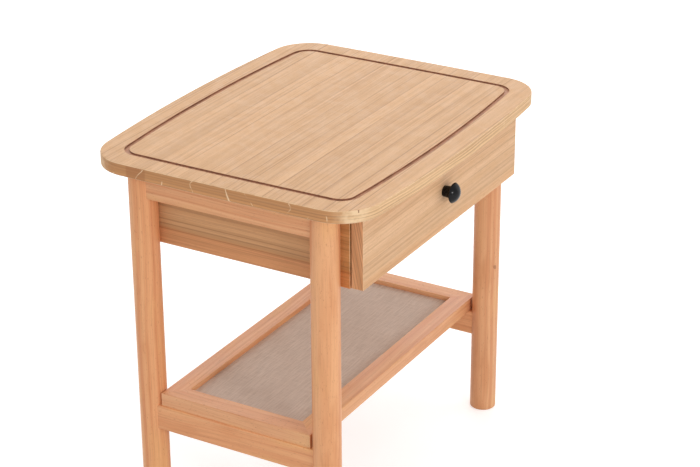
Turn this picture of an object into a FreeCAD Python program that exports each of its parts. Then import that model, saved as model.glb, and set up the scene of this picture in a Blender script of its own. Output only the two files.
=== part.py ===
import FreeCAD, Part
import math
import os

# Side table with one drawer and a lower shelf.
# Frame: +Z up, the drawer opens towards -Y, the origin is on the floor under the middle of the top.
# Each piece is written to parts/ as its own solid, all in millimetres.

V = FreeCAD.Vector
X_AXIS = V(1, 0, 0)
Y_AXIS = V(0, 1, 0)
Z_AXIS = V(0, 0, 1)

# Table top: a veneered board with bowed edges and a routed line all round.
total_height = 540.0
top_width = 558.0
top_depth = 451.0
top_thickness = 18.0
front_bow = 15.2
side_bow = 2.2
top_corner_radius = 62.0
top_edge_ease = 1.5
groove_inset = 32.7
groove_width = 7.3
groove_depth = 2.5

# Side frames: two round legs joined by a rail under the top and a stretcher near the floor.
leg_diameter = 40.0
leg_inset_x = 38.0
leg_inset_y = 81.5
foot_ease = 2.0
rail_thickness = 27.0
rail_height = 38.0
stretcher_thickness = 26.0
stretcher_height = 38.0
rail_edge_ease = 1.5
leg_dowel_diameter = 8.0
leg_dowel_length = 36.0
leg_dowel_spacing = 18.0

# Shelf: a mitred frame lying on the stretchers, with a woven panel held in a slot.
shelf_height = 185.0
shelf_frame_thickness = 20.0
shelf_frame_width = 30.0
shelf_setback_x = 3.0
shelf_leg_gap = 1.3
shelf_edge_ease = 1.0
shelf_panel_thickness = 4.0
shelf_panel_recess = 7.7
shelf_slot_depth = 6.0
mitre_dowel_diameter = 5.0
mitre_dowel_length = 20.0

# Drawer case: two sides let into the legs, a back and a thin bottom.
case_height = 112.0
case_side_thickness = 16.0
case_back_thickness = 16.0
case_back_inset = 69.5
case_bottom_thickness = 6.0
case_bottom_rise = 8.0
case_front_ease = 1.0
case_slot_depth = 6.0
case_dowel_diameter = 8.0
case_dowel_length = 30.0
case_dowel_depth = 10.0
case_dowel_end = 26.0

# Drawer: a box on ball slides with a front that covers the case.
drawer_front_thickness = 18.0
drawer_front_inset = 32.0
drawer_front_top_gap = 3.0
drawer_front_bottom_reveal = 1.0
drawer_front_ease = 1.0
drawer_front_gap = 2.0
box_thickness = 12.0
box_bottom_gap = 6.0
box_top_gap = 17.0
box_bottom_thickness = 4.0
box_bottom_rise = 8.0
box_slot_depth = 5.0
box_dowel_diameter = 6.0
box_dowel_length = 24.0
box_dowel_depth = 7.0
box_dowel_end = 20.0

# Knob, turned, with its screw coming through from inside the drawer.
knob_height = 58.0
knob_foot_diameter = 15.5
knob_neck_diameter = 18.0
knob_stem_length = 13.3
knob_head_diameter = 29.5
knob_projection = 24.0
knob_rim_radius = 1.6
knob_neck_flare = 1.5
knob_thread_depth = 11.0
knob_thread_spare = 1.0
knob_screw_diameter = 4.0
knob_screw_head_diameter = 8.0
knob_screw_head_height = 2.6

# Ball slides: a case member, a drawer member and a ball cage between their flanges.
slide_gap = 12.5
slide_height = 27.0
slide_sheet = 1.2
slide_flange = 9.0
slide_front_setback = 3.0
slide_back_gap = 11.5
ball_diameter = 2.7
ball_gap = 0.3
ball_pitch = 11.0
balls_in_row = 6
cage_length = 70.0
cage_sheet = 0.8
cage_web_gap = 0.7
cage_strip_width = 5.0

# Wood screws, named by what they hold.
screw_diameter = 4.0
screw_head_diameter = 8.0
screw_head_depth = 2.4
slide_screw_diameter = 3.5
slide_screw_head_diameter = 6.2
slide_screw_head_depth = 1.6
top_screw_bite = 12.0
shelf_screw_bite = 12.0
upright_screw_end = 44.0
counterbore_depth = 12.0
counterbore_diameter = 9.0
case_screw_bite = 13.0
case_screw_end = 34.0
slide_screw_bite = 10.0
slide_screw_end = 35.0
front_screw_bite = 11.0
front_screw_side_inset = 37.0
front_screw_end = 17.5

# Clearances.
hole_gap = 0.05
slot_gap = 0.1
slot_end_gap = 0.3

# Places worked out from the driving dimensions.
leg_radius = leg_diameter / 2
leg_x = top_width / 2 - leg_inset_x
leg_y = top_depth / 2 - leg_inset_y
top_bottom_z = total_height - top_thickness
rail_bottom_z = top_bottom_z - rail_height
rail_middle_z = top_bottom_z - rail_height / 2
case_x = leg_x - rail_thickness / 2
case_bottom_z = top_bottom_z - case_height
drawer_front_y = -(top_depth / 2 - drawer_front_inset)
drawer_front_back_y = drawer_front_y + drawer_front_thickness
drawer_front_bottom_z = case_bottom_z + drawer_front_bottom_reveal
drawer_front_height = case_height - drawer_front_top_gap - drawer_front_bottom_reveal
case_front_y = drawer_front_back_y + drawer_front_gap
case_back_y = top_depth / 2 - case_back_inset
case_inner_x = case_x - case_side_thickness
case_inner_back_y = case_back_y - case_back_thickness
case_floor_z = case_bottom_z + case_bottom_rise + case_bottom_thickness
slide_front_y = case_front_y + slide_front_setback
slide_back_y = case_inner_back_y - slide_back_gap
box_x = case_inner_x - slide_gap
box_inner_x = box_x - box_thickness
box_front_y = drawer_front_back_y
box_back_y = slide_back_y
box_bottom_z = case_floor_z + box_bottom_gap
box_height = top_bottom_z - box_top_gap - box_bottom_z
slide_z = box_bottom_z + box_height / 2
knob_z = drawer_front_bottom_z + knob_height
stretcher_top_z = shelf_height - shelf_frame_thickness
stretcher_bottom_z = stretcher_top_z - stretcher_height
stretcher_middle_z = stretcher_top_z - stretcher_height / 2
shelf_x = leg_x + stretcher_thickness / 2 - shelf_setback_x
shelf_y = leg_y - leg_radius - shelf_leg_gap
shelf_panel_top_z = shelf_height - shelf_panel_recess

SIDES = {"left": -1, "right": 1}
ENDS = {"front": -1, "back": 1}

os.makedirs("parts", exist_ok=True)


def box(x_range, y_range, z_range):
    """A block between two values along each axis, given in either order."""
    x_low, x_high = sorted(x_range)
    y_low, y_high = sorted(y_range)
    z_low, z_high = sorted(z_range)
    return Part.makeBox(x_high - x_low, y_high - y_low, z_high - z_low, V(x_low, y_low, z_low))


def rod(start, direction, length, diameter):
    return Part.makeCylinder(diameter / 2, length, start, direction)


def cut_all(shape, tools):
    for tool in tools:
        shape = shape.cut(tool)
    return shape


def eased(shape, radius, wanted):
    """Rounds the edges whose middle point satisfies the given test."""
    edges = [edge for edge in shape.Edges if wanted(edge.CenterOfMass)]
    return shape.makeFillet(radius, edges)


def near(value, target):
    return abs(value - target) < 0.01


def save(name, solids):
    """Writes one piece, or a group of identical separate pieces, as a node of its own."""
    shape = solids[0] if len(solids) == 1 else Part.makeCompound(solids)
    shape.exportStep("parts/" + name + ".step")


# Screws, dowels and the holes they need.
def wood_screw(head, direction, length, diameter, head_diameter, head_depth, gap=0.0):
    """A countersunk screw with its flat head face at the given point; a gap makes it a hole."""
    shank = rod(head, direction, length + gap, diameter + 2 * gap)
    cone = Part.makeCone(head_diameter / 2 + gap, diameter / 2 + gap, head_depth, head, direction)
    return shank.fuse(cone).removeSplitter()


def large_screw(head, direction, length, gap=0.0):
    return wood_screw(head, direction, length, screw_diameter, screw_head_diameter, screw_head_depth, gap)


def slide_screw(head, direction, gap=0.0):
    length = slide_sheet + slide_screw_bite
    return wood_screw(head, direction, length, slide_screw_diameter, slide_screw_head_diameter,
                      slide_screw_head_depth, gap)


def dowel(middle, direction, length, diameter, gap=0.0):
    start = middle - direction * (length / 2 + gap)
    return rod(start, direction, length + 2 * gap, diameter + 2 * gap)


def leg_dowels(side, end, middle_z, gap=0.0):
    """The pair of dowels that joins one rail or stretcher to one leg."""
    y = end * (leg_y - leg_radius)
    heights = [middle_z - leg_dowel_spacing / 2, middle_z + leg_dowel_spacing / 2]
    return [dowel(V(side * leg_x, y, z), Y_AXIS, leg_dowel_length, leg_dowel_diameter, gap)
            for z in heights]


def upright_screw_rows():
    reach = leg_y - leg_radius - upright_screw_end
    return [-reach, reach]


def upright_screws(side, bottom_z, height, bite, gap=0.0):
    """Screws sunk into the underside of a rail that hold what lies on it."""
    length = height - counterbore_depth + bite
    head_z = bottom_z + counterbore_depth
    return [large_screw(V(side * leg_x, y, head_z), Z_AXIS, length, gap) for y in upright_screw_rows()]


def top_screws(side, gap=0.0):
    return upright_screws(side, rail_bottom_z, rail_height, top_screw_bite, gap)


def shelf_screws(side, gap=0.0):
    return upright_screws(side, stretcher_bottom_z, stretcher_height, shelf_screw_bite, gap)


def counterbores(side, bottom_z):
    return [rod(V(side * leg_x, y, bottom_z), Z_AXIS, counterbore_depth, counterbore_diameter)
            for y in upright_screw_rows()]


def case_screws(side, gap=0.0):
    """Screws from inside the case through its side into the rail."""
    length = case_side_thickness + case_screw_bite
    reach = leg_y - leg_radius - case_screw_end
    ys = [-reach, 0.0, reach]
    return [large_screw(V(side * case_inner_x, y, rail_middle_z), X_AXIS * side, length, gap) for y in ys]


def case_dowels(side, gap=0.0):
    """Dowels that join the case back to one case side."""
    x = side * (case_inner_x + case_dowel_depth - case_dowel_length / 2)
    y = case_back_y - case_back_thickness / 2
    heights = [case_floor_z + case_dowel_end / 2, top_bottom_z - case_dowel_end]
    return [dowel(V(x, y, z), X_AXIS, case_dowel_length, case_dowel_diameter, gap) for z in heights]


def box_dowels(side, end, gap=0.0):
    """Dowels that join the front or back of the drawer box to one of its sides."""
    x = side * (box_inner_x + box_dowel_depth - box_dowel_length / 2)
    y = box_front_y + box_thickness / 2 if end < 0 else box_back_y - box_thickness / 2
    heights = [box_bottom_z + box_dowel_end, box_bottom_z + box_height - box_dowel_end]
    return [dowel(V(x, y, z), X_AXIS, box_dowel_length, box_dowel_diameter, gap) for z in heights]


def slide_screw_rows():
    middle_y = (slide_front_y + slide_back_y) / 2
    return [slide_front_y + slide_screw_end, middle_y, slide_back_y - slide_screw_end]


def case_slide_screws(side, gap=0.0):
    x = side * (case_inner_x - slide_sheet)
    return [slide_screw(V(x, y, slide_z), X_AXIS * side, gap) for y in slide_screw_rows()]


def drawer_slide_screws(side, gap=0.0):
    x = side * (box_x + slide_sheet)
    return [slide_screw(V(x, y, slide_z), X_AXIS * -side, gap) for y in slide_screw_rows()]


def drawer_front_screws(gap=0.0):
    """Screws from inside the drawer box that hold its covering front."""
    length = box_thickness + front_screw_bite
    y = box_front_y + box_thickness
    reach_x = box_inner_x - front_screw_side_inset
    reach_z = box_height / 2 - front_screw_end
    places = [(x, slide_z + z) for x in (-reach_x, reach_x) for z in (-reach_z, reach_z)]
    return [large_screw(V(x, y, z), Y_AXIS * -1, length, gap) for x, z in places]


def knob_screw(gap=0.0):
    head = V(0, box_front_y + box_thickness, knob_z)
    length = box_thickness + drawer_front_thickness + knob_thread_depth - knob_thread_spare
    shank = rod(head, Y_AXIS * -1, length + gap, knob_screw_diameter + 2 * gap)
    pan = rod(head, Y_AXIS, knob_screw_head_height, knob_screw_head_diameter)
    return shank.fuse(pan).removeSplitter()


def mitre_dowel(side, end, gap=0.0):
    """A dowel square to the mitre at one corner of the shelf frame."""
    middle = V(side * (shelf_x - shelf_frame_width / 2), end * (shelf_y - shelf_frame_width / 2),
               shelf_height - shelf_frame_thickness / 2)
    across = V(side, -end, 0).normalize()
    return dowel(middle, across, mitre_dowel_length, mitre_dowel_diameter, gap)


# Table top.
def quarter_points(offset):
    """Arc points of one quarter of the top's outline, moved inwards by the offset."""
    half_width = top_width / 2
    half_depth = top_depth / 2
    front_radius = (half_width ** 2 + front_bow ** 2) / (2 * front_bow)
    side_radius = (half_depth ** 2 + side_bow ** 2) / (2 * side_bow)
    side_centre = V(half_width - side_radius, 0, 0)
    front_centre = V(0, half_depth - front_radius, 0)
    # The corner arc touches both bowed edges from inside, so its centre lies on two circles.
    reach_side = side_radius - top_corner_radius
    reach_front = front_radius - top_corner_radius
    between = front_centre - side_centre
    distance = between.Length
    along = (reach_side ** 2 - reach_front ** 2 + distance ** 2) / (2 * distance)
    aside = math.sqrt(reach_side ** 2 - along ** 2)
    forward = V(between).normalize()
    sideways = V(-forward.y, forward.x, 0)
    corners = [side_centre + forward * along + sideways * (sign * aside) for sign in (-1, 1)]
    corner = max(corners, key=lambda point: point.x + point.y)
    towards_side = (corner - side_centre).normalize()
    towards_front = (corner - front_centre).normalize()
    radius = top_corner_radius - offset
    side_end = corner + towards_side * radius
    front_end = corner + towards_front * radius
    corner_middle = corner + (towards_side + towards_front).normalize() * radius
    return side_end, corner_middle, front_end


def outline(offset, z):
    """The top's outline as eight arcs: four bowed edges and four round corners."""
    side_end, corner_middle, front_end = quarter_points(offset)
    edge_x = top_width / 2 - offset
    edge_y = top_depth / 2 - offset

    def at(point, sx, sy):
        return V(point.x * sx, point.y * sy, z)

    arcs = []
    for sx, sy in ((1, 1), (-1, -1)):
        arcs.append(Part.Arc(at(side_end, sx, -sy), V(edge_x * sx, 0, z), at(side_end, sx, sy)))
        arcs.append(Part.Arc(at(side_end, sx, sy), at(corner_middle, sx, sy), at(front_end, sx, sy)))
        arcs.append(Part.Arc(at(front_end, sx, sy), V(0, edge_y * sy, z), at(front_end, -sx, sy)))
        arcs.append(Part.Arc(at(front_end, -sx, sy), at(corner_middle, -sx, sy), at(side_end, -sx, sy)))
    return Part.Wire([arc.toShape() for arc in arcs])


def slab(offset, low_z, high_z):
    return Part.Face(outline(offset, low_z)).extrude(V(0, 0, high_z - low_z))


def table_top():
    board = slab(0, top_bottom_z, total_height)
    board = eased(board, top_edge_ease, lambda p: near(p.z, total_height) or near(p.z, top_bottom_z))
    floor_z = total_height - groove_depth
    field = slab(groove_inset + groove_width, floor_z, total_height)
    line = slab(groove_inset, floor_z, total_height).cut(field)
    holes = [hole for side in SIDES.values() for hole in top_screws(side, hole_gap)]
    return cut_all(board, [line] + holes)


# Side frames.
def leg(side, end):
    """A round leg, cut flat inside its top so that the drawer case sits on the shoulder."""
    post = Part.makeCylinder(leg_radius, top_bottom_z, V(side * leg_x, end * leg_y, 0), Z_AXIS)
    post = eased(post, foot_ease, lambda p: near(p.z, 0))
    inside = (side * case_x, side * (leg_x - leg_diameter))
    y_range = (end * leg_y - leg_diameter, end * leg_y + leg_diameter)
    housing = box(inside, y_range, (case_bottom_z, total_height))
    holes = leg_dowels(side, end, rail_middle_z, hole_gap)
    holes += leg_dowels(side, end, stretcher_middle_z, hole_gap)
    return cut_all(post, [housing] + holes)


def coped_rail(side, thickness, low_z, high_z, eased_edges):
    """A rail between two legs, with hollow ends that fit the round legs."""
    inner_x = side * (leg_x - thickness / 2)
    outer_x = side * (leg_x + thickness / 2)
    rail = box((inner_x, outer_x), (-leg_y, leg_y), (low_z, high_z))
    corners = {"outer": outer_x, "inner": inner_x, "low": low_z, "high": high_z}
    spots = [(corners[across], corners[up]) for across, up in eased_edges]
    rail = eased(rail, rail_edge_ease,
                 lambda p: near(p.y, 0) and any(near(p.x, x) and near(p.z, z) for x, z in spots))
    for end in ENDS.values():
        rail = rail.cut(rod(V(side * leg_x, end * leg_y, low_z), Z_AXIS, high_z - low_z, leg_diameter))
        middle_z = (low_z + high_z) / 2
        rail = cut_all(rail, leg_dowels(side, end, middle_z, hole_gap))
    return cut_all(rail, counterbores(side, low_z))


def side_rail(side):
    rail = coped_rail(side, rail_thickness, rail_bottom_z, top_bottom_z, [("outer", "low")])
    return cut_all(rail, top_screws(side, hole_gap) + case_screws(side, hole_gap))


def stretcher(side):
    spots = [("outer", "low"), ("outer", "high"), ("inner", "low"), ("inner", "high")]
    rail = coped_rail(side, stretcher_thickness, stretcher_bottom_z, stretcher_top_z, spots)
    return cut_all(rail, shelf_screws(side, hole_gap))


# Shelf.
def panel_slot():
    """The room that the woven panel and its slot take inside the frame."""
    reach_x = shelf_x - shelf_frame_width + shelf_slot_depth
    reach_y = shelf_y - shelf_frame_width + shelf_slot_depth
    low_z = shelf_panel_top_z - shelf_panel_thickness - slot_gap
    return box((-reach_x, reach_x), (-reach_y, reach_y), (low_z, shelf_panel_top_z + slot_gap))


def shelf_rail(points, corners):
    """One mitred rail of the shelf frame from its four plan corners."""
    low_z = shelf_height - shelf_frame_thickness
    plan = Part.makePolygon([V(x, y, low_z) for x, y in points + points[:1]])
    rail = Part.Face(plan).extrude(V(0, 0, shelf_frame_thickness))
    outer, inner = points[0], points[3]
    along = 0 if near(outer[0], -points[1][0]) else 1
    across = 1 - along
    lines = (outer[across], inner[across])
    rail = eased(rail, shelf_edge_ease,
                 lambda p: near(p.z, shelf_height) and any(near(p[across], line) for line in lines))
    holes = [mitre_dowel(side, end, hole_gap) for side, end in corners]
    for side in {side for side, _ in corners}:
        holes += shelf_screws(side, hole_gap)
    return cut_all(rail, [panel_slot()] + holes)


def shelf_end_rail(end):
    inner_x = shelf_x - shelf_frame_width
    inner_y = shelf_y - shelf_frame_width
    points = [(-shelf_x, end * shelf_y), (shelf_x, end * shelf_y),
              (inner_x, end * inner_y), (-inner_x, end * inner_y)]
    return shelf_rail(points, [(-1, end), (1, end)])


def shelf_side_rail(side):
    inner_x = shelf_x - shelf_frame_width
    inner_y = shelf_y - shelf_frame_width
    points = [(side * shelf_x, -shelf_y), (side * shelf_x, shelf_y),
              (side * inner_x, inner_y), (side * inner_x, -inner_y)]
    return shelf_rail(points, [(side, -1), (side, 1)])


def shelf_panel():
    reach_x = shelf_x - shelf_frame_width + shelf_slot_depth - slot_end_gap
    reach_y = shelf_y - shelf_frame_width + shelf_slot_depth - slot_end_gap
    return box((-reach_x, reach_x), (-reach_y, reach_y),
               (shelf_panel_top_z - shelf_panel_thickness, shelf_panel_top_z))


# Drawer case.
def case_bottom_slot():
    """The slot that the case bottom slides in, cut into both sides and the back."""
    reach_x = case_inner_x + case_slot_depth
    low_z = case_floor_z - case_bottom_thickness - slot_gap
    return box((-reach_x, reach_x), (case_front_y, case_inner_back_y + case_slot_depth),
               (low_z, case_floor_z + slot_gap))


def case_side(side):
    panel = box((side * case_inner_x, side * case_x), (case_front_y, case_back_y),
                (case_bottom_z, top_bottom_z))
    middle_z = (case_bottom_z + top_bottom_z) / 2
    panel = eased(panel, case_front_ease, lambda p: near(p.y, case_front_y) and near(p.z, middle_z))
    holes = case_screws(side, hole_gap) + case_dowels(side, hole_gap) + case_slide_screws(side, hole_gap)
    return cut_all(panel, [case_bottom_slot()] + holes)


def case_back():
    panel = box((-case_inner_x, case_inner_x), (case_inner_back_y, case_back_y),
                (case_bottom_z, top_bottom_z))
    holes = [hole for side in SIDES.values() for hole in case_dowels(side, hole_gap)]
    return cut_all(panel, [case_bottom_slot()] + holes)


def case_bottom():
    reach_x = case_inner_x + case_slot_depth - slot_end_gap
    back_y = case_inner_back_y + case_slot_depth - slot_end_gap
    return box((-reach_x, reach_x), (case_front_y, back_y),
               (case_floor_z - case_bottom_thickness, case_floor_z))


# Drawer.
def drawer_front():
    panel = box((-case_x, case_x), (drawer_front_y, drawer_front_back_y),
                (drawer_front_bottom_z, drawer_front_bottom_z + drawer_front_height))
    panel = panel.makeFillet(drawer_front_ease, panel.Edges)
    return cut_all(panel, drawer_front_screws(hole_gap) + [knob_screw(hole_gap)])


def box_bottom_slot():
    reach_x = box_inner_x + box_slot_depth
    low_z = box_bottom_z + box_bottom_rise - slot_gap
    high_z = box_bottom_z + box_bottom_rise + box_bottom_thickness + slot_gap
    y_range = (box_front_y + box_thickness - box_slot_depth, box_back_y - box_thickness + box_slot_depth)
    return box((-reach_x, reach_x), y_range, (low_z, high_z))


def drawer_side(side):
    panel = box((side * box_inner_x, side * box_x), (box_front_y, box_back_y),
                (box_bottom_z, box_bottom_z + box_height))
    holes = [hole for end in ENDS.values() for hole in box_dowels(side, end, hole_gap)]
    return cut_all(panel, [box_bottom_slot()] + holes + drawer_slide_screws(side, hole_gap))


def drawer_end(end):
    """The front or back of the drawer box, between its sides."""
    y = box_front_y if end < 0 else box_back_y - box_thickness
    panel = box((-box_inner_x, box_inner_x), (y, y + box_thickness),
                (box_bottom_z, box_bottom_z + box_height))
    holes = [hole for side in SIDES.values() for hole in box_dowels(side, end, hole_gap)]
    if end < 0:
        holes += drawer_front_screws(hole_gap) + [knob_screw(hole_gap)]
    return cut_all(panel, [box_bottom_slot()] + holes)


def drawer_bottom():
    reach_x = box_inner_x + box_slot_depth - slot_end_gap
    reach_y = box_slot_depth - slot_end_gap
    low_z = box_bottom_z + box_bottom_rise
    y_range = (box_front_y + box_thickness - reach_y, box_back_y - box_thickness + reach_y)
    return box((-reach_x, reach_x), y_range, (low_z, low_z + box_bottom_thickness))


def knob():
    """A mushroom knob turned about the Y axis, with its foot on the drawer front."""
    foot = knob_foot_diameter / 2
    neck = knob_neck_diameter / 2
    head = knob_head_diameter / 2
    flare = knob_neck_flare

    def at(radius, height):
        return V(radius, drawer_front_y - height, knob_z)

    rim_low = knob_stem_length + knob_rim_radius
    slant = math.sqrt(0.5)
    neck_middle = at(neck + flare * (1 - slant), knob_stem_length - flare * (1 - slant))
    rim_middle = at(head - knob_rim_radius * (1 - slant), rim_low - knob_rim_radius * slant)
    rise = knob_projection - rim_low
    dome_radius = (head ** 2 + rise ** 2) / (2 * rise)
    dome_middle_radius = head * 0.5
    dome_middle = at(dome_middle_radius,
                     knob_projection - dome_radius + math.sqrt(dome_radius ** 2 - dome_middle_radius ** 2))
    foot_middle, foot_edge = at(0, 0), at(foot, 0)
    neck_start, neck_end = at(neck, knob_stem_length - flare), at(neck + flare, knob_stem_length)
    rim_start, rim_end = at(head - knob_rim_radius, knob_stem_length), at(head, rim_low)
    tip = at(0, knob_projection)
    outline_edges = [
        Part.makeLine(foot_middle, foot_edge),
        Part.makeLine(foot_edge, neck_start),
        Part.Arc(neck_start, neck_middle, neck_end).toShape(),
        Part.makeLine(neck_end, rim_start),
        Part.Arc(rim_start, rim_middle, rim_end).toShape(),
        Part.Arc(rim_end, dome_middle, tip).toShape(),
        Part.makeLine(tip, foot_middle),
    ]
    turned = Part.Face(Part.Wire(outline_edges)).revolve(V(0, 0, knob_z), Y_AXIS, 360)
    thread_diameter = knob_screw_diameter + 2 * hole_gap
    thread = rod(V(0, drawer_front_y, knob_z), Y_AXIS * -1, knob_thread_depth, thread_diameter)
    return turned.cut(thread)


# Ball slides. Heights are measured from the slide's centre line.
ball_row_height = slide_height / 2 - slide_sheet - ball_gap - ball_diameter / 2
drawer_member_half = ball_row_height - ball_diameter / 2 - ball_gap


def channel(side, web_x, inwards, half_height):
    """A folded sheet channel: a web at the given X and two flanges pointing inwards or outwards."""
    y_range = (slide_front_y, slide_back_y)
    web = (side * web_x, side * (web_x + inwards * slide_sheet))
    reach = (side * web_x, side * (web_x + inwards * slide_flange))
    body = box(reach, y_range, (slide_z - half_height, slide_z + half_height))
    hollow_x = (web[1], side * (web_x + inwards * (slide_flange + 1)))
    hollow_half = half_height - slide_sheet
    return body.cut(box(hollow_x, y_range, (slide_z - hollow_half, slide_z + hollow_half)))


def case_member(side):
    member = channel(side, case_inner_x, -1, slide_height / 2)
    return cut_all(member, case_slide_screws(side, hole_gap))


def drawer_member(side):
    member = channel(side, box_x, 1, drawer_member_half)
    return cut_all(member, drawer_slide_screws(side, hole_gap))


def ball_cage(side):
    """Two rows of balls in a folded strip, halfway along the closed slide."""
    middle_y = (slide_front_y + slide_back_y) / 2
    y_range = (middle_y - cage_length / 2, middle_y + cage_length / 2)
    web_x = case_inner_x - slide_sheet - cage_web_gap
    strip_x = (side * web_x, side * (web_x - cage_strip_width))
    outer = ball_row_height + cage_sheet / 2
    inner = ball_row_height - cage_sheet / 2
    cage = box(strip_x, y_range, (slide_z - outer, slide_z + outer))
    hollow_x = (side * (web_x - cage_sheet), side * (web_x - cage_strip_width - 1))
    cage = cage.cut(box(hollow_x, y_range, (slide_z - inner, slide_z + inner)))
    ball_x = side * (web_x - cage_strip_width / 2 - cage_sheet / 2)
    first_y = middle_y - ball_pitch * (balls_in_row - 1) / 2
    for row in (-1, 1):
        for count in range(balls_in_row):
            place = V(ball_x, first_y + count * ball_pitch, slide_z + row * ball_row_height)
            cage = cage.fuse(Part.makeSphere(ball_diameter / 2, place))
    return cage


# Write every piece.
save("table_top", [table_top()])
save("shelf_panel", [shelf_panel()])
save("case_back", [case_back()])
save("case_bottom", [case_bottom()])
save("drawer_front", [drawer_front()])
save("drawer_bottom", [drawer_bottom()])
save("knob", [knob()])
save("knob_screw", [knob_screw()])

for end_name, end in ENDS.items():
    save("shelf_rail_" + end_name, [shelf_end_rail(end)])
    save("drawer_box_" + end_name, [drawer_end(end)])

for side_name, side in SIDES.items():
    for end_name, end in ENDS.items():
        save("leg_" + end_name + "_" + side_name, [leg(side, end)])
    save("side_rail_" + side_name, [side_rail(side)])
    save("stretcher_" + side_name, [stretcher(side)])
    save("shelf_rail_" + side_name, [shelf_side_rail(side)])
    save("case_side_" + side_name, [case_side(side)])
    save("drawer_box_" + side_name, [drawer_side(side)])
    save("slide_case_member_" + side_name, [case_member(side)])
    save("slide_drawer_member_" + side_name, [drawer_member(side)])
    save("slide_ball_cage_" + side_name, [ball_cage(side)])

all_corners = [(side, end) for side in SIDES.values() for end in ENDS.values()]
both_sides = SIDES.values()
save("rail_dowels", [peg for side, end in all_corners for peg in leg_dowels(side, end, rail_middle_z)])
save("stretcher_dowels", [peg for side, end in all_corners
                          for peg in leg_dowels(side, end, stretcher_middle_z)])
save("shelf_mitre_dowels", [mitre_dowel(side, end) for side, end in all_corners])
save("drawer_box_dowels", [peg for side, end in all_corners for peg in box_dowels(side, end)])
save("case_dowels", [peg for side in both_sides for peg in case_dowels(side)])
save("case_screws", [screw for side in both_sides for screw in case_screws(side)])
save("top_screws", [screw for side in both_sides for screw in top_screws(side)])
save("shelf_screws", [screw for side in both_sides for screw in shelf_screws(side)])
save("slide_case_screws", [screw for side in both_sides for screw in case_slide_screws(side)])
save("slide_drawer_screws", [screw for side in both_sides for screw in drawer_slide_screws(side)])
save("drawer_front_screws", drawer_front_screws())
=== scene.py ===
import math

import bpy
from mathutils import Matrix, Vector


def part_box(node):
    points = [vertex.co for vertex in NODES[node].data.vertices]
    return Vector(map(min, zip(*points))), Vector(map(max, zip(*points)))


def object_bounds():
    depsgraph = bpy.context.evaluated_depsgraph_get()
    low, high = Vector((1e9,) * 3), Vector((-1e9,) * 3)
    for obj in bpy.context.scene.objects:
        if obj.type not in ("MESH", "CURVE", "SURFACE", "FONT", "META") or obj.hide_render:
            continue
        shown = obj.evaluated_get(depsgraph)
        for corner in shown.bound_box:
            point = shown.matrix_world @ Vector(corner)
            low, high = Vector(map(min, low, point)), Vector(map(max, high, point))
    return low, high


# Side table with one drawer: finishes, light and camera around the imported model.
# Lengths are in metres, in the model's own frame: the drawer opens towards -Y and +Z is up.

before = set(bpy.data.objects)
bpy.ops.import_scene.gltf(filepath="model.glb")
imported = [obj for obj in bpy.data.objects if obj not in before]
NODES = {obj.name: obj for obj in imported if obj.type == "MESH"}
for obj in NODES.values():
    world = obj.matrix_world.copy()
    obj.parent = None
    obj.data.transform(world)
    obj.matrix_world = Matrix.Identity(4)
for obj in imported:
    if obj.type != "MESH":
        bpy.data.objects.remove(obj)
cad_low, cad_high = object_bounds()

MM = 0.001
_, TOP_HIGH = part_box("table_top")
FRONT_LOW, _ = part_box("drawer_front")
CASE_LOW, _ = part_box("case_side_left")
TABLE_MIDDLE = (Vector(cad_low) + Vector(cad_high)) / 2

# Finish colours, as linear red, green and blue.
OAK_PALE = (0.750, 0.462, 0.258)
OAK_TAN = (0.660, 0.392, 0.208)
OAK_LINE = (0.45, 0.240, 0.118)
OAK_JOINT = (0.30, 0.145, 0.075)
OAK_GOLD = (0.80, 0.535, 0.30)
OAK_BROWN = (0.60, 0.295, 0.125)
# Pale ray colour: the real ray flecks of the edging, and also the painted highlight along rounded edges.
OAK_RAY_AND_HIGHLIGHT = (0.95, 0.72, 0.46)
OAK_SPLICE = (0.40, 0.165, 0.07)
EDGING_TAN = (0.70, 0.43, 0.21)
EDGING_DARK = (0.47, 0.215, 0.085)
FRONT_PALE = (0.76, 0.49, 0.29)
FRONT_LOW_TINT = (1.0, 0.90, 0.80)
FRONT_END_PALE = (0.78, 0.395, 0.195)
FRONT_END_TAN = (0.60, 0.265, 0.115)
CASE_PALE = (0.68, 0.375, 0.185)
CASE_TAN = (0.46, 0.235, 0.102)
CASE_LOW_TINT = (1.06, 0.86, 0.78)
# Tint for the case side's front strip: painted shade and warm light bounced off the leg.
CASE_FRONT_PAINTED_SHADE = (0.93, 0.78, 0.58)
BEECH_PALE = (0.81, 0.425, 0.212)
BEECH_PINK = (0.70, 0.305, 0.140)
BEECH_GOLD = (0.82, 0.455, 0.20)
BEECH_BROWN = (0.66, 0.275, 0.115)
BEECH_FLECK = (0.40, 0.15, 0.06)
BEECH_KNOT = (0.30, 0.10, 0.04)
STAIN_FLOOR = (0.52, 0.265, 0.165)
# Stain of the routed line; the darker wall colour is painted shade on the line's walls.
STAIN_WALL_PAINTED_SHADE = (0.31, 0.145, 0.085)
THREAD_PALE = (0.73, 0.595, 0.50)
THREAD_TAUPE = (0.53, 0.41, 0.33)
THREAD_CROSS = (0.76, 0.64, 0.55)
THREAD_CLOUD = (0.56, 0.43, 0.34)
THREAD_GAP = (0.26, 0.18, 0.14)
LACQUER_DEEP = (0.003, 0.003, 0.004)
LACQUER = (0.006, 0.006, 0.007)
ZINC_PALE = (0.56, 0.57, 0.58)
ZINC_GREY = (0.44, 0.45, 0.47)
FLOOR_GREY = (0.80, 0.80, 0.80)
FLOOR_PALE = (0.83, 0.83, 0.83)
WHITE = (1.0, 1.0, 1.0, 1.0)

# How warm each leg's wood is, from the front left one to the back right one.
LEG_TONES = (0.3, -0.4, 0.8, 0.4)

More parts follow.
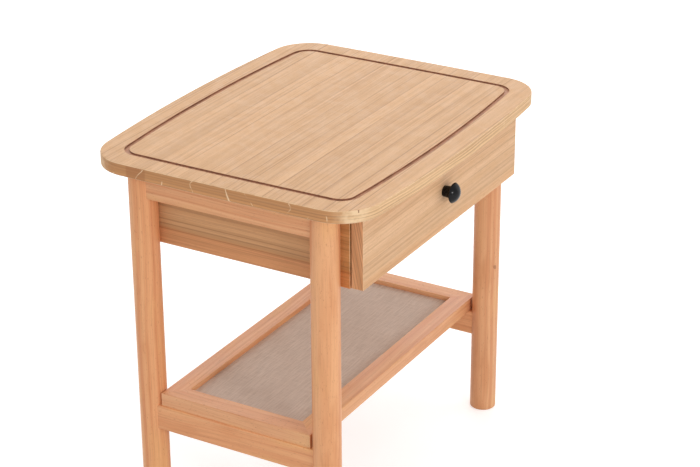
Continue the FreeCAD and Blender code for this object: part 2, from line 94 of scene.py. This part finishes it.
# Sizes that the finishes follow, in metres.
JOINT_WIDTH = 0.0014
PITH_WIDE = 0.05
PITH_DEEP = 0.07
SPLICE_Y = 0.128
SPLICE_INNER, SPLICE_OUTER = 0.014, 0.017
EDGING_TURN = 0.30
THREAD = 1.15 * MM
WOOD_RELIEF = 0.00008
BEECH_RELIEF = 0.00006
WEAVE_RELIEF = 0.00025
LACQUER_RELIEF = 0.00002
STEEL_RELIEF = 0.00003

# The part of the top that holds the routed line, as shares of its half width and half depth.
ROUTED_REACH_X = 0.915
ROUTED_REACH_Y = 0.90

# Light and camera.
FLOOR_HALF = 14.0
FLOOR_GLOW = 0.45
WORLD_LIGHT = 0.78
WORLD_SEEN = 1.0
CAMERA_AZIMUTH = math.radians(-59.953)
CAMERA_ELEVATION = math.radians(24.488)
CAMERA_ROLL = math.radians(-0.308)
CAMERA_DISTANCE = 2.9
CAMERA_AIM = TABLE_MIDDLE + Vector((-0.0168, -0.0520, 0.1092))
CAMERA_SENSOR_MM = 36.0
CAMERA_LENS_MM = 104.36


class Finish:
    """Builds one procedural material, a node at a time."""

    def __init__(self, name):
        self.material = bpy.data.materials.new(name)
        self.material.use_nodes = True
        self.tree = self.material.node_tree
        self.surface = self.tree.nodes["Principled BSDF"]
        coordinates = self.add("ShaderNodeTexCoord")
        self.place = coordinates.outputs["Object"]
        self.normal = coordinates.outputs["Normal"]
        self.x, self.y, self.z = self.split(self.place)

    def add(self, kind, **settings):
        node = self.tree.nodes.new(kind)
        for key, value in settings.items():
            setattr(node, key, value)
        return node

    def feed(self, socket, value):
        if isinstance(value, bpy.types.NodeSocket):
            self.tree.links.new(value, socket)
        elif isinstance(value, (tuple, list)) and len(value) == 3 and len(socket.default_value) == 4:
            socket.default_value = (*value, 1.0)
        else:
            socket.default_value = value

    def calc(self, operation, first, second=0.0, third=0.0, clamp=False):
        node = self.add("ShaderNodeMath", operation=operation, use_clamp=clamp)
        for socket, value in zip(node.inputs, (first, second, third)):
            self.feed(socket, value)
        return node.outputs[0]

    def times(self, first, second):
        return self.calc("MULTIPLY", first, second)

    def plus(self, first, second):
        return self.calc("ADD", first, second)

    def split(self, vector):
        node = self.add("ShaderNodeSeparateXYZ")
        self.feed(node.inputs[0], vector)
        return node.outputs[0], node.outputs[1], node.outputs[2]

    def vector(self, x, y, z):
        node = self.add("ShaderNodeCombineXYZ")
        for socket, value in zip(node.inputs, (x, y, z)):
            self.feed(socket, value)
        return node.outputs[0]

    def noise(self, vector, scale=1.0, detail=2.0, roughness=0.5, distortion=0.0):
        node = self.add("ShaderNodeTexNoise")
        self.feed(node.inputs["Vector"], vector)
        node.inputs["Scale"].default_value = scale
        node.inputs["Detail"].default_value = detail
        node.inputs["Roughness"].default_value = roughness
        node.inputs["Distortion"].default_value = distortion
        return node.outputs[0]

    def cells(self, value, feature="F1"):
        """Random widths along one direction: the tone of each cell, or the distance to its edge."""
        node = self.add("ShaderNodeTexVoronoi", voronoi_dimensions="1D", feature=feature)
        self.feed(node.inputs["W"], value)
        node.inputs["Scale"].default_value = 1.0
        return node.outputs["Color"] if feature == "F1" else node.outputs["Distance"]

    def between(self, value, low, high, start=0.0, end=1.0):
        """Maps a range of values smoothly onto another range."""
        node = self.add("ShaderNodeMapRange", interpolation_type="SMOOTHSTEP")
        for socket, number in zip(node.inputs, (value, low, high, start, end)):
            self.feed(socket, number)
        return node.outputs[0]

    def mix(self, factor, first, second, blend="MIX"):
        node = self.add("ShaderNodeMix", data_type="RGBA", blend_type=blend)
        self.feed(node.inputs["Factor"], factor)
        self.feed(node.inputs[6], first)
        self.feed(node.inputs[7], second)
        return node.outputs[2]

    def grey(self, value):
        return self.vector(value, value, value)

    def bump(self, height, depth):
        """Relief of the given depth in metres."""
        node = self.add("ShaderNodeBump")
        node.inputs["Strength"].default_value = 1.0
        node.inputs["Distance"].default_value = depth
        self.feed(node.inputs["Height"], height)
        return node.outputs[0]

    def finish(self, colour, roughness, normal=None, **fixed):
        """Sets the surface; the fixed values go straight onto the shader's own sockets."""
        self.feed(self.surface.inputs["Base Color"], colour)
        self.feed(self.surface.inputs["Roughness"], roughness)
        if normal is not None:
            self.feed(self.surface.inputs["Normal"], normal)
        for name, value in fixed.items():
            self.surface.inputs[name.replace("_", " ")].default_value = value
        return self.material


# Wood.
def oak_layers(s, along, across, depth, seed, pale=OAK_PALE, tan=OAK_TAN, leaf=0.021, joints=0.80,
               lines=0.46):
    """Straight-grained oak: narrow leaves with dark joints, growth lines and short pores."""
    drift = s.noise(s.vector(s.times(along, 2.0), s.times(across, 5.0), seed), detail=2)
    wander = s.calc("MULTIPLY_ADD", drift, 0.005, across)
    leaf_place = s.calc("MULTIPLY_ADD", wander, 1 / leaf, seed * 7.3)
    leaf_tone = s.add("ShaderNodeRGBToBW")
    s.feed(leaf_tone.inputs[0], s.cells(leaf_place))
    edge = s.cells(leaf_place, "DISTANCE_TO_EDGE")
    bands = s.noise(s.vector(s.times(along, 1.2), s.times(wander, 95), s.times(depth, 95)), detail=2)
    growth = s.noise(s.vector(s.times(along, 2.5), s.times(wander, 270), s.times(depth, 270)), detail=3,
                     roughness=0.75)
    fibre = s.noise(s.vector(s.times(along, 22), s.times(wander, 850), s.times(depth, 850)), detail=2,
                    roughness=0.7)
    pores = s.noise(s.vector(s.times(along, 120), s.times(wander, 1300), s.times(depth, 1300)), detail=1)

    colour = s.mix(s.between(bands, 0.30, 0.75, 0.0, 0.75), pale, tan)
    tone = s.between(leaf_tone.outputs[0], 0.1, 0.9, 0.955, 1.03)
    colour = s.mix(1.0, colour, s.grey(tone), "MULTIPLY")
    colour = s.mix(s.times(s.between(growth, 0.44, 0.70), lines), colour, OAK_LINE)
    colour = s.mix(s.between(fibre, 0.40, 0.78, 0.0, 0.30), colour, OAK_LINE)
    pore_mask = s.between(pores, 0.58, 0.72)
    colour = s.mix(s.times(pore_mask, 0.30), colour, OAK_LINE)
    fade = s.noise(s.vector(s.times(along, 2.4), s.calc("FLOOR", leaf_place), seed + 4.0))
    strength = s.between(fade, 0.36, 0.60, 0.06, joints)
    joint_mask = s.times(s.between(edge, 0.0, JOINT_WIDTH / leaf, 1.0, 0.0), strength)
    colour = s.mix(joint_mask, colour, OAK_JOINT)
    height = s.plus(s.times(growth, 0.4), s.times(pore_mask, -1.0))
    return colour, height


def satin(s, colour, height):
    """An oiled satin surface, a little uneven in its gloss."""
    rough = s.between(s.noise(s.place, scale=60.0, detail=2), 0.3, 0.7, 0.46, 0.58)
    return s.finish(colour, rough, s.bump(height, WOOD_RELIEF), Specular_IOR_Level=0.12)


def arris_painted_highlight(s, colour):
    """Painted highlight: slightly paler wood where a flat face turns over its rounded edge and catches the
    light.
    """
    nx, ny, nz = (s.calc("ABSOLUTE", part) for part in s.split(s.normal))
    # Mask of the rounded edges that get the painted highlight.
    arris_highlight_mask = s.between(s.calc("MAXIMUM", nx, s.calc("MAXIMUM", ny, nz)), 0.80, 0.985, 1.0, 0.0)
    patchy = s.noise(s.place, scale=90.0, detail=2)
    return s.mix(s.times(arris_highlight_mask, s.between(patchy, 0.3, 0.6, 0.15, 0.55)), colour, OAK_RAY_AND_HIGHLIGHT)


def oak(name, along, across, depth, seed, **look):
    """Oak with its grain along one axis of the frame: x, y or z."""
    s = Finish(name)
    colour, height = oak_layers(s, getattr(s, along), getattr(s, across), getattr(s, depth), seed, **look)
    # The paler rounded edges added here are a painted highlight.
    return satin(s, arris_painted_highlight(s, colour), height)


def top_finish():
    """The top: veneer across it, solid edging round it and a stained routed line, with painted shade on
    the line's walls.
    """
    s = Finish("oak_top")
    field, field_height = oak_layers(s, s.x, s.y, s.z, 1.7, joints=0.55)

    # The edging's grain follows the outline: darker on the two sides, golden at front and back.
    nx, ny, nz = s.split(s.normal)
    turn = s.calc("ARCTAN2", s.times(ny, -1.0), s.times(nx, -1.0))
    around = s.plus(s.plus(s.times(s.x, s.times(ny, -1.0)), s.times(s.y, nx)), s.times(turn, EDGING_TURN))
    flow = s.noise(s.vector(s.times(around, 9), s.times(s.z, 40), 1.0), detail=2)
    level = s.calc("MULTIPLY_ADD", flow, 0.006, s.z)
    rear = s.times(s.calc("GREATER_THAN", s.y, 0.0), 0.5)
    side_piece = s.between(s.plus(s.plus(s.calc("ABSOLUTE", nx), rear), s.times(flow, 0.2)), 0.80, 1.0)
    pale = s.mix(side_piece, OAK_GOLD, OAK_BROWN)
    tan = s.mix(side_piece, EDGING_TAN, EDGING_DARK)
    band, band_height = oak_layers(s, around, level, 0.0, 5.1, pale=pale, tan=tan, leaf=0.0042, joints=0.5,
                                   lines=0.55)
    from_splice = s.calc("ABSOLUTE", s.calc("SUBTRACT", s.y, SPLICE_Y))
    splice = s.times(s.between(from_splice, SPLICE_INNER, SPLICE_OUTER, 1.0, 0.0),
                     s.calc("LESS_THAN", s.x, 0.0))
    band = s.mix(s.times(splice, 0.55), band, OAK_SPLICE)
    bend = s.noise(s.vector(s.times(around, 18), s.times(s.z, 38), 2.0), detail=0)
    slant = s.calc("MULTIPLY_ADD", bend, 0.055, around)
    ray_edge = s.cells(s.times(slant, 24.0), "DISTANCE_TO_EDGE")
    ray_part = s.noise(s.vector(s.times(around, 40), s.times(s.z, 70), 8.0), detail=1)
    rays = s.times(s.between(ray_edge, 0.0, 0.030, 1.0, 0.0), s.between(ray_part, 0.44, 0.54))
    rays = s.times(rays, s.calc("MULTIPLY_ADD", side_piece, 0.60, 0.22))
    band = s.mix(rays, band, OAK_RAY_AND_HIGHLIGHT)

    upright = s.between(s.calc("ABSOLUTE", nz), 0.35, 0.75, 1.0, 0.0)
    reach_x = s.calc("ABSOLUTE", s.times(s.x, 1 / TOP_HIGH.x))
    reach_y = s.calc("ABSOLUTE", s.times(s.y, 1 / TOP_HIGH.y))
    inside = s.times(s.calc("LESS_THAN", reach_x, ROUTED_REACH_X),
                     s.calc("LESS_THAN", reach_y, ROUTED_REACH_Y))
    below = s.calc("LESS_THAN", s.z, TOP_HIGH.z - 0.15 * MM)
    above = s.calc("GREATER_THAN", s.z, TOP_HIGH.z - 4 * MM)
    routed = s.times(inside, s.times(below, above))

    # The paler rounded edges added here are a painted highlight.
    colour = arris_painted_highlight(s, s.mix(upright, field, band))
    height = s.calc("MULTIPLY_ADD", upright, s.calc("SUBTRACT", band_height, field_height), field_height)
    patchy = s.noise(s.vector(s.times(s.x, 60), s.times(s.y, 260), s.times(s.z, 300)), detail=2)
    # Painted shade: the routed line's upright walls are darker than its floor, as if in shadow.
    wall_painted_shade = s.mix(1.0, STAIN_WALL_PAINTED_SHADE, s.grey(s.between(patchy, 0.3, 0.7, 0.8, 1.2)), "MULTIPLY")
    floor = s.mix(1.0, STAIN_FLOOR, s.grey(s.between(patchy, 0.3, 0.7, 0.85, 1.15)), "MULTIPLY")
    colour = s.mix(routed, colour, s.mix(upright, floor, wall_painted_shade))
    return satin(s, colour, height)


def drawer_front_finish():
    """Veneer along the front's faces, and slanting reddish grain on its two ends."""
    s = Finish("oak_drawer_front")
    face, face_height = oak_layers(s, s.x, s.z, s.y, 9.3, pale=FRONT_PALE, leaf=0.017, joints=0.35)
    low_leaf = s.between(s.calc("SUBTRACT", s.z, FRONT_LOW.z), 0.010, 0.014, 1.0, 0.0)
    face = s.mix(s.times(low_leaf, 0.6), face, s.mix(1.0, face, FRONT_LOW_TINT, "MULTIPLY"))
    slanted = s.calc("MULTIPLY_ADD", s.z, -0.2, s.y)
    end, end_height = oak_layers(s, s.z, slanted, s.x, 3.9, pale=FRONT_END_PALE, tan=FRONT_END_TAN,
                                 leaf=0.0045, joints=0.55, lines=0.6)
    nx, _, _ = s.split(s.normal)
    mask = s.between(s.calc("ABSOLUTE", nx), 0.55, 0.85)
    colour = s.mix(mask, face, end)
    height = s.calc("MULTIPLY_ADD", mask, s.calc("SUBTRACT", end_height, face_height), face_height)
    # The paler rounded edges added here are a painted highlight.
    return satin(s, arris_painted_highlight(s, colour), height)


def case_finish():
    """Case sides: strongly lined veneer along Y, with a redder leaf along the bottom and painted shade at
    the front end.
    """
    s = Finish("oak_case")
    colour, height = oak_layers(s, s.y, s.z, s.x, 6.4, pale=CASE_PALE, tan=CASE_TAN, leaf=0.009,
                                joints=0.55, lines=0.80)
    wave = s.noise(s.vector(s.times(s.y, 5), s.times(s.z, 20), 1.0), detail=2)
    low_edge = s.calc("MULTIPLY_ADD", wave, 0.012, CASE_LOW.z + 0.018)
    low_leaf = s.between(s.calc("SUBTRACT", s.z, low_edge), -0.002, 0.002, 1.0, 0.0)
    colour = s.mix(s.times(low_leaf, 0.85), colour, s.mix(1.0, colour, CASE_LOW_TINT, "MULTIPLY"))
    # Painted shade: the strip at the front end is darker and redder, as shade with warm light bounced from
    # the front leg.
    front_painted_shade = s.between(s.y, CASE_LOW.y + 0.012, CASE_LOW.y + 0.020, 1.0, 0.0)
    colour = s.mix(front_painted_shade, colour, s.mix(1.0, colour, CASE_FRONT_PAINTED_SHADE, "MULTIPLY"))
    # The paler rounded edges added here are a painted highlight.
    return satin(s, arris_painted_highlight(s, colour), height)


def beech(name, along, seed, tone=0.0, flecks=0.5):
    """Solid beech: soft growth rings round a pith outside the piece, and short brown flecks."""
    s = Finish(name)
    axes = {"x": (s.x, s.y, s.z), "y": (s.y, s.z, s.x), "z": (s.z, s.x, s.y)}
    length, wide, deep = axes[along]
    shift = s.plus(deep, seed * 0.37)
    sway = s.noise(s.vector(s.times(length, 2.2), s.times(wide, 8), s.times(shift, 8)), detail=2)
    bent = s.calc("MULTIPLY_ADD", sway, 0.030, wide)
    pith = s.add("ShaderNodeVectorMath", operation="LENGTH")
    to_pith = (s.plus(bent, PITH_WIDE + 0.013 * seed), s.plus(deep, PITH_DEEP - 0.009 * seed))
    s.feed(pith.inputs[0], s.vector(*to_pith, 0.0))
    rings = s.noise(s.vector(s.times(pith.outputs["Value"], 210), s.times(length, 0.8), seed), detail=3)
    fibre = s.noise(s.vector(s.times(length, 12), s.times(bent, 620), s.times(shift, 620)), detail=3,
                    roughness=0.65)
    cloud = s.noise(s.vector(s.times(length, 9), s.times(wide, 34), s.times(shift, 34)), detail=3)
    grit = s.noise(s.vector(s.times(length, 190), s.times(wide, 850), s.times(shift, 850)), detail=1)
    knot = s.noise(s.vector(s.times(length, 34), s.times(wide, 60), s.times(shift, 60)), detail=0)

    colour = s.mix(s.between(rings, 0.32, 0.68), BEECH_PALE, BEECH_PINK)
    colour = s.mix(s.between(cloud, 0.52, 0.72, 0.0, 0.55), colour, BEECH_GOLD)
    colour = s.mix(s.between(cloud, 0.46, 0.28, 0.0, 0.55), colour, BEECH_BROWN)
    colour = s.mix(s.between(fibre, 0.46, 0.74, 0.0, 0.32), colour, BEECH_FLECK)
    fleck = s.between(grit, 0.66, 0.76)
    colour = s.mix(s.times(fleck, flecks), colour, BEECH_FLECK)
    colour = s.mix(s.between(knot, 0.855, 0.885, 0.0, 0.6), colour, BEECH_KNOT)
    warm = (1.0 + 0.01 * tone, 1.0 - 0.06 * tone, 1.0 - 0.13 * tone)
    colour = s.mix(1.0, colour, warm, "MULTIPLY")
    height = s.plus(s.times(fibre, 0.5), s.times(fleck, -0.6))
    rough = s.between(cloud, 0.3, 0.7, 0.42, 0.55)
    return s.finish(colour, rough, s.bump(height, BEECH_RELIEF), Specular_IOR_Level=0.32)


def woven_finish():
    """The shelf panel: a fine taupe weave with thicker threads along X."""
    s = Finish("woven_panel")
    slub = s.noise(s.vector(s.times(s.x, 30), s.times(s.y, 430), 0.0), detail=3, roughness=0.6)
    cross = s.noise(s.vector(s.times(s.x, 430), s.times(s.y, 30), 3.0), detail=3, roughness=0.6)
    wave_x = s.calc("SINE", s.times(s.x, 2 * math.pi / THREAD))
    wave_y = s.calc("SINE", s.times(s.y, 2 * math.pi / THREAD))
    over = s.times(wave_x, wave_y)
    cloud = s.noise(s.place, scale=14.0, detail=3)
    colour = s.mix(s.between(slub, 0.25, 0.75), THREAD_PALE, THREAD_TAUPE)
    colour = s.mix(s.between(cross, 0.3, 0.75, 0.0, 0.45), colour, THREAD_CROSS)
    colour = s.mix(s.between(cloud, 0.35, 0.7, 0.0, 0.2), colour, THREAD_CLOUD)
    colour = s.mix(s.between(over, -1.0, 1.0, 0.16, 0.0), colour, THREAD_GAP)
    height = s.plus(s.plus(slub, s.times(cross, 0.5)), s.times(over, 0.35))
    return s.finish(colour, 0.82, s.bump(height, WEAVE_RELIEF), Specular_IOR_Level=0.25, Sheen_Weight=0.15,
                    Sheen_Roughness=0.5)


def black_lacquer():
    """The knob's black lacquer, slightly uneven in its gloss."""
    s = Finish("black_lacquer")
    speck = s.noise(s.place, scale=900.0, detail=3)
    cloud = s.noise(s.place, scale=120.0, detail=2)
    colour = s.mix(s.between(cloud, 0.3, 0.7), LACQUER_DEEP, LACQUER)
    rough = s.between(speck, 0.3, 0.7, 0.12, 0.18)
    return s.finish(colour, rough, s.bump(speck, LACQUER_RELIEF), Specular_IOR_Level=0.18)


def zinc_steel():
    """Rolled zinc-plated steel of the slides and screws."""
    s = Finish("zinc_steel")
    rolled = s.noise(s.vector(s.times(s.x, 900), s.times(s.y, 30), s.times(s.z, 900)), detail=2)
    bloom = s.noise(s.place, scale=70.0, detail=4, roughness=0.6)
    colour = s.mix(s.between(bloom, 0.3, 0.7), ZINC_PALE, ZINC_GREY)
    rough = s.between(rolled, 0.3, 0.7, 0.28, 0.42)
    return s.finish(colour, rough, s.bump(rolled, STEEL_RELIEF), Metallic=1.0)


def paint(material, *names):
    """Gives CAD nodes a finish."""
    for name in names:
        slots = NODES[name].data.materials
        slots.clear()
        slots.append(material)


paint(top_finish(), "table_top")
paint(drawer_front_finish(), "drawer_front")
paint(case_finish(), "case_side_left", "case_side_right")
paint(oak("oak_case_back", "x", "z", "y", 2.6, leaf=0.03), "case_back")
paint(oak("oak_drawer_sides", "y", "z", "x", 7.7, leaf=0.05, joints=0.2),
      "drawer_box_left", "drawer_box_right")
paint(oak("oak_drawer_ends", "x", "z", "y", 8.8, leaf=0.05, joints=0.2),
      "drawer_box_front", "drawer_box_back")
paint(oak("thin_board", "x", "y", "z", 4.4, leaf=0.09, joints=0.25), "drawer_bottom", "case_bottom")
paint(beech("beech_dowels", "x", 2.0), "case_dowels", "drawer_box_dowels", "rail_dowels",
      "stretcher_dowels", "shelf_mitre_dowels")
paint(woven_finish(), "shelf_panel")
paint(black_lacquer(), "knob")
paint(zinc_steel(), "knob_screw", "case_screws", "top_screws", "shelf_screws", "slide_case_screws",
      "slide_drawer_screws", "drawer_front_screws", "slide_case_member_left", "slide_case_member_right",
      "slide_drawer_member_left", "slide_drawer_member_right", "slide_ball_cage_left",
      "slide_ball_cage_right")

for seed, (end, side) in enumerate((e, s) for e in ("front", "back") for s in ("left", "right")):
    paint(beech(f"beech_leg_{end}_{side}", "z", seed + 1, tone=LEG_TONES[seed]), f"leg_{end}_{side}")
for seed, side in enumerate(("left", "right")):
    paint(beech(f"beech_rail_{side}", "y", seed + 5, tone=-0.3), f"side_rail_{side}")
    paint(beech(f"beech_stretcher_{side}", "y", seed + 7, tone=0.5), f"stretcher_{side}")
    paint(beech(f"beech_shelf_{side}", "y", seed + 9, tone=-0.9, flecks=0.8), f"shelf_rail_{side}")
for seed, end in enumerate(("front", "back")):
    paint(beech(f"beech_shelf_{end}", "x", seed + 11, tone=-0.4), f"shelf_rail_{end}")


# Floor, light and camera.
def white_floor():
    """A pale floor that keeps the table's shadow and reads as white to the camera."""
    half = FLOOR_HALF
    mesh = bpy.data.meshes.new("floor")
    corners = [(-half, -half, 0), (half, -half, 0), (half, half, 0), (-half, half, 0)]
    mesh.from_pydata(corners, [], [(0, 1, 2, 3)])
    floor = bpy.data.objects.new("floor", mesh)
    bpy.context.scene.collection.objects.link(floor)
    s = Finish("floor")
    s.tree.nodes.remove(s.surface)
    speck = s.noise(s.place, scale=3.0, detail=3)
    matte = s.add("ShaderNodeBsdfDiffuse")
    s.feed(matte.inputs["Color"], s.mix(speck, FLOOR_GREY, FLOOR_PALE))
    glow = s.add("ShaderNodeEmission")
    glow.inputs["Strength"].default_value = FLOOR_GLOW
    rays = s.add("ShaderNodeLightPath")
    seen = s.calc("MAXIMUM", rays.outputs["Is Camera Ray"], rays.outputs["Is Glossy Ray"])
    seen = s.calc("MAXIMUM", seen, rays.outputs["Is Transmission Ray"])
    both = s.add("ShaderNodeAddShader")
    s.feed(both.inputs[0], matte.outputs[0])
    s.feed(both.inputs[1], glow.outputs[0])
    pick = s.add("ShaderNodeMixShader")
    s.feed(pick.inputs[0], seen)
    s.feed(pick.inputs[1], matte.outputs[0])
    s.feed(pick.inputs[2], both.outputs[0])
    s.feed(s.tree.nodes["Material Output"].inputs["Surface"], pick.outputs[0])
    mesh.materials.append(s.material)


def white_world():
    """Soft light from all round, and plain white where the camera or a reflection sees it."""
    world = bpy.data.worlds.new("studio")
    world.use_nodes = True
    bpy.context.scene.world = world
    tree = world.node_tree
    dim = tree.nodes["Background"]
    dim.inputs["Color"].default_value = WHITE
    dim.inputs["Strength"].default_value = WORLD_LIGHT
    bright = tree.nodes.new("ShaderNodeBackground")
    bright.inputs["Color"].default_value = WHITE
    bright.inputs["Strength"].default_value = WORLD_SEEN
    rays = tree.nodes.new("ShaderNodeLightPath")
    seen = tree.nodes.new("ShaderNodeMath")
    seen.operation = "MAXIMUM"
    tree.links.new(rays.outputs["Is Camera Ray"], seen.inputs[0])
    tree.links.new(rays.outputs["Is Glossy Ray"], seen.inputs[1])
    pick = tree.nodes.new("ShaderNodeMixShader")
    through = tree.nodes.new("ShaderNodeMath")
    through.operation = "MAXIMUM"
    tree.links.new(seen.outputs[0], through.inputs[0])
    tree.links.new(rays.outputs["Is Transmission Ray"], through.inputs[1])
    tree.links.new(through.outputs[0], pick.inputs[0])
    tree.links.new(dim.outputs[0], pick.inputs[1])
    tree.links.new(bright.outputs[0], pick.inputs[2])
    tree.links.new(pick.outputs[0], tree.nodes["World Output"].inputs["Surface"])


def soft_light(name, direction, distance, size, strength):
    """A square lamp that faces the table from the given direction."""
    lamp = bpy.data.lights.new(name, "AREA")
    lamp.shape = "SQUARE"
    lamp.size = size
    lamp.energy = strength
    holder = bpy.data.objects.new(name, lamp)
    towards = Vector(direction).normalized()
    holder.location = TABLE_MIDDLE + towards * distance
    holder.rotation_euler = towards.to_track_quat("Z", "Y").to_euler()
    bpy.context.scene.collection.objects.link(holder)


def camera():
    """The view from above the left front corner, 2.9 m from the table, through a long lens."""
    data = bpy.data.cameras.new("camera")
    data.sensor_width = CAMERA_SENSOR_MM
    data.lens = CAMERA_LENS_MM
    holder = bpy.data.objects.new("camera", data)
    back = Vector((math.sin(CAMERA_AZIMUTH) * math.cos(CAMERA_ELEVATION),
                   -math.cos(CAMERA_AZIMUTH) * math.cos(CAMERA_ELEVATION),
                   math.sin(CAMERA_ELEVATION)))
    right = Vector((0, 0, 1)).cross(back).normalized()
    up = back.cross(right)
    turn = Matrix((right, up, back)).transposed() @ Matrix.Rotation(CAMERA_ROLL, 3, "Z")
    holder.matrix_world = Matrix.Translation(CAMERA_AIM + back * CAMERA_DISTANCE) @ turn.to_4x4()
    bpy.context.scene.collection.objects.link(holder)
    bpy.context.scene.camera = holder


white_floor()
white_world()
soft_light("front_light", (-0.43, -0.86, 0.29), 2.6, 0.45, 13.0)
soft_light("overhead_light", (0.0, 0.0, 1.0), 3.0, 2.4, 12.0)
soft_light("right_front_light", (0.8, -0.8, 0.4), 3.0, 2.0, 6.5)
soft_light("right_back_light", (1.0, 0.5, 0.35), 3.0, 2.0, 25.0)
camera()
bpy.context.scene.view_settings.view_transform = "Standard"
